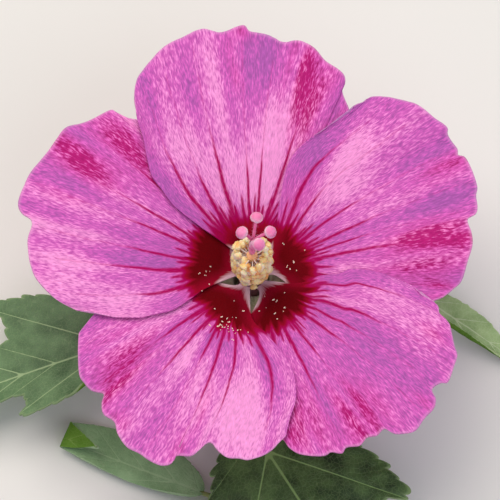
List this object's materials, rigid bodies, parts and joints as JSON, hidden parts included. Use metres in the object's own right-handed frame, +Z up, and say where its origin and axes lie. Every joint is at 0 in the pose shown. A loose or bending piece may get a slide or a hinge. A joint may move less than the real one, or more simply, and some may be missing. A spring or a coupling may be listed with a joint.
{
  "type": "cut flowering shoot of rose of sharon",
  "caption": "Cut shoot of a flowering shrub lying face up: an open pink bloom with a crimson eye and cream stamens on its stalk and calyx, a woody stem and lobed leaves.",
  "frame": {"origin": "centre of the part's box, on the level surface that the shoot lies on", "axes": "+Z up, the way the bloom faces; +Y from the stem's cut end towards its tip; +X to the right seen from the stem's cut end"},
  "size_m": [0.1618, 0.16, 0.0579],
  "materials": {
    "petal": "soft pink petal with a dark crimson eye",
    "anther": "dusty cream anthers on white filaments",
    "style": "soft pink, finely hairy",
    "calyx": "matt, downy green",
    "leaf": "half-matt green, paler veins",
    "bark": "rough grey-brown bark with a pale cut end"
  },
  "bodies": {
    "root": {"petal_top": "petal", "petal_right": "petal", "petal_lower_right": "petal", "petal_lower_left": "petal", "petal_left": "petal", "staminal_column": "anther", "styles": "style", "calyx": "calyx", "epicalyx": "calyx", "flower_stalk": "calyx", "stem": "bark", "leaf_left": "leaf", "leaf_bottom": "leaf", "leaf_lower_left": "leaf", "leaf_right": "leaf"}
  },
  "joints": []
}
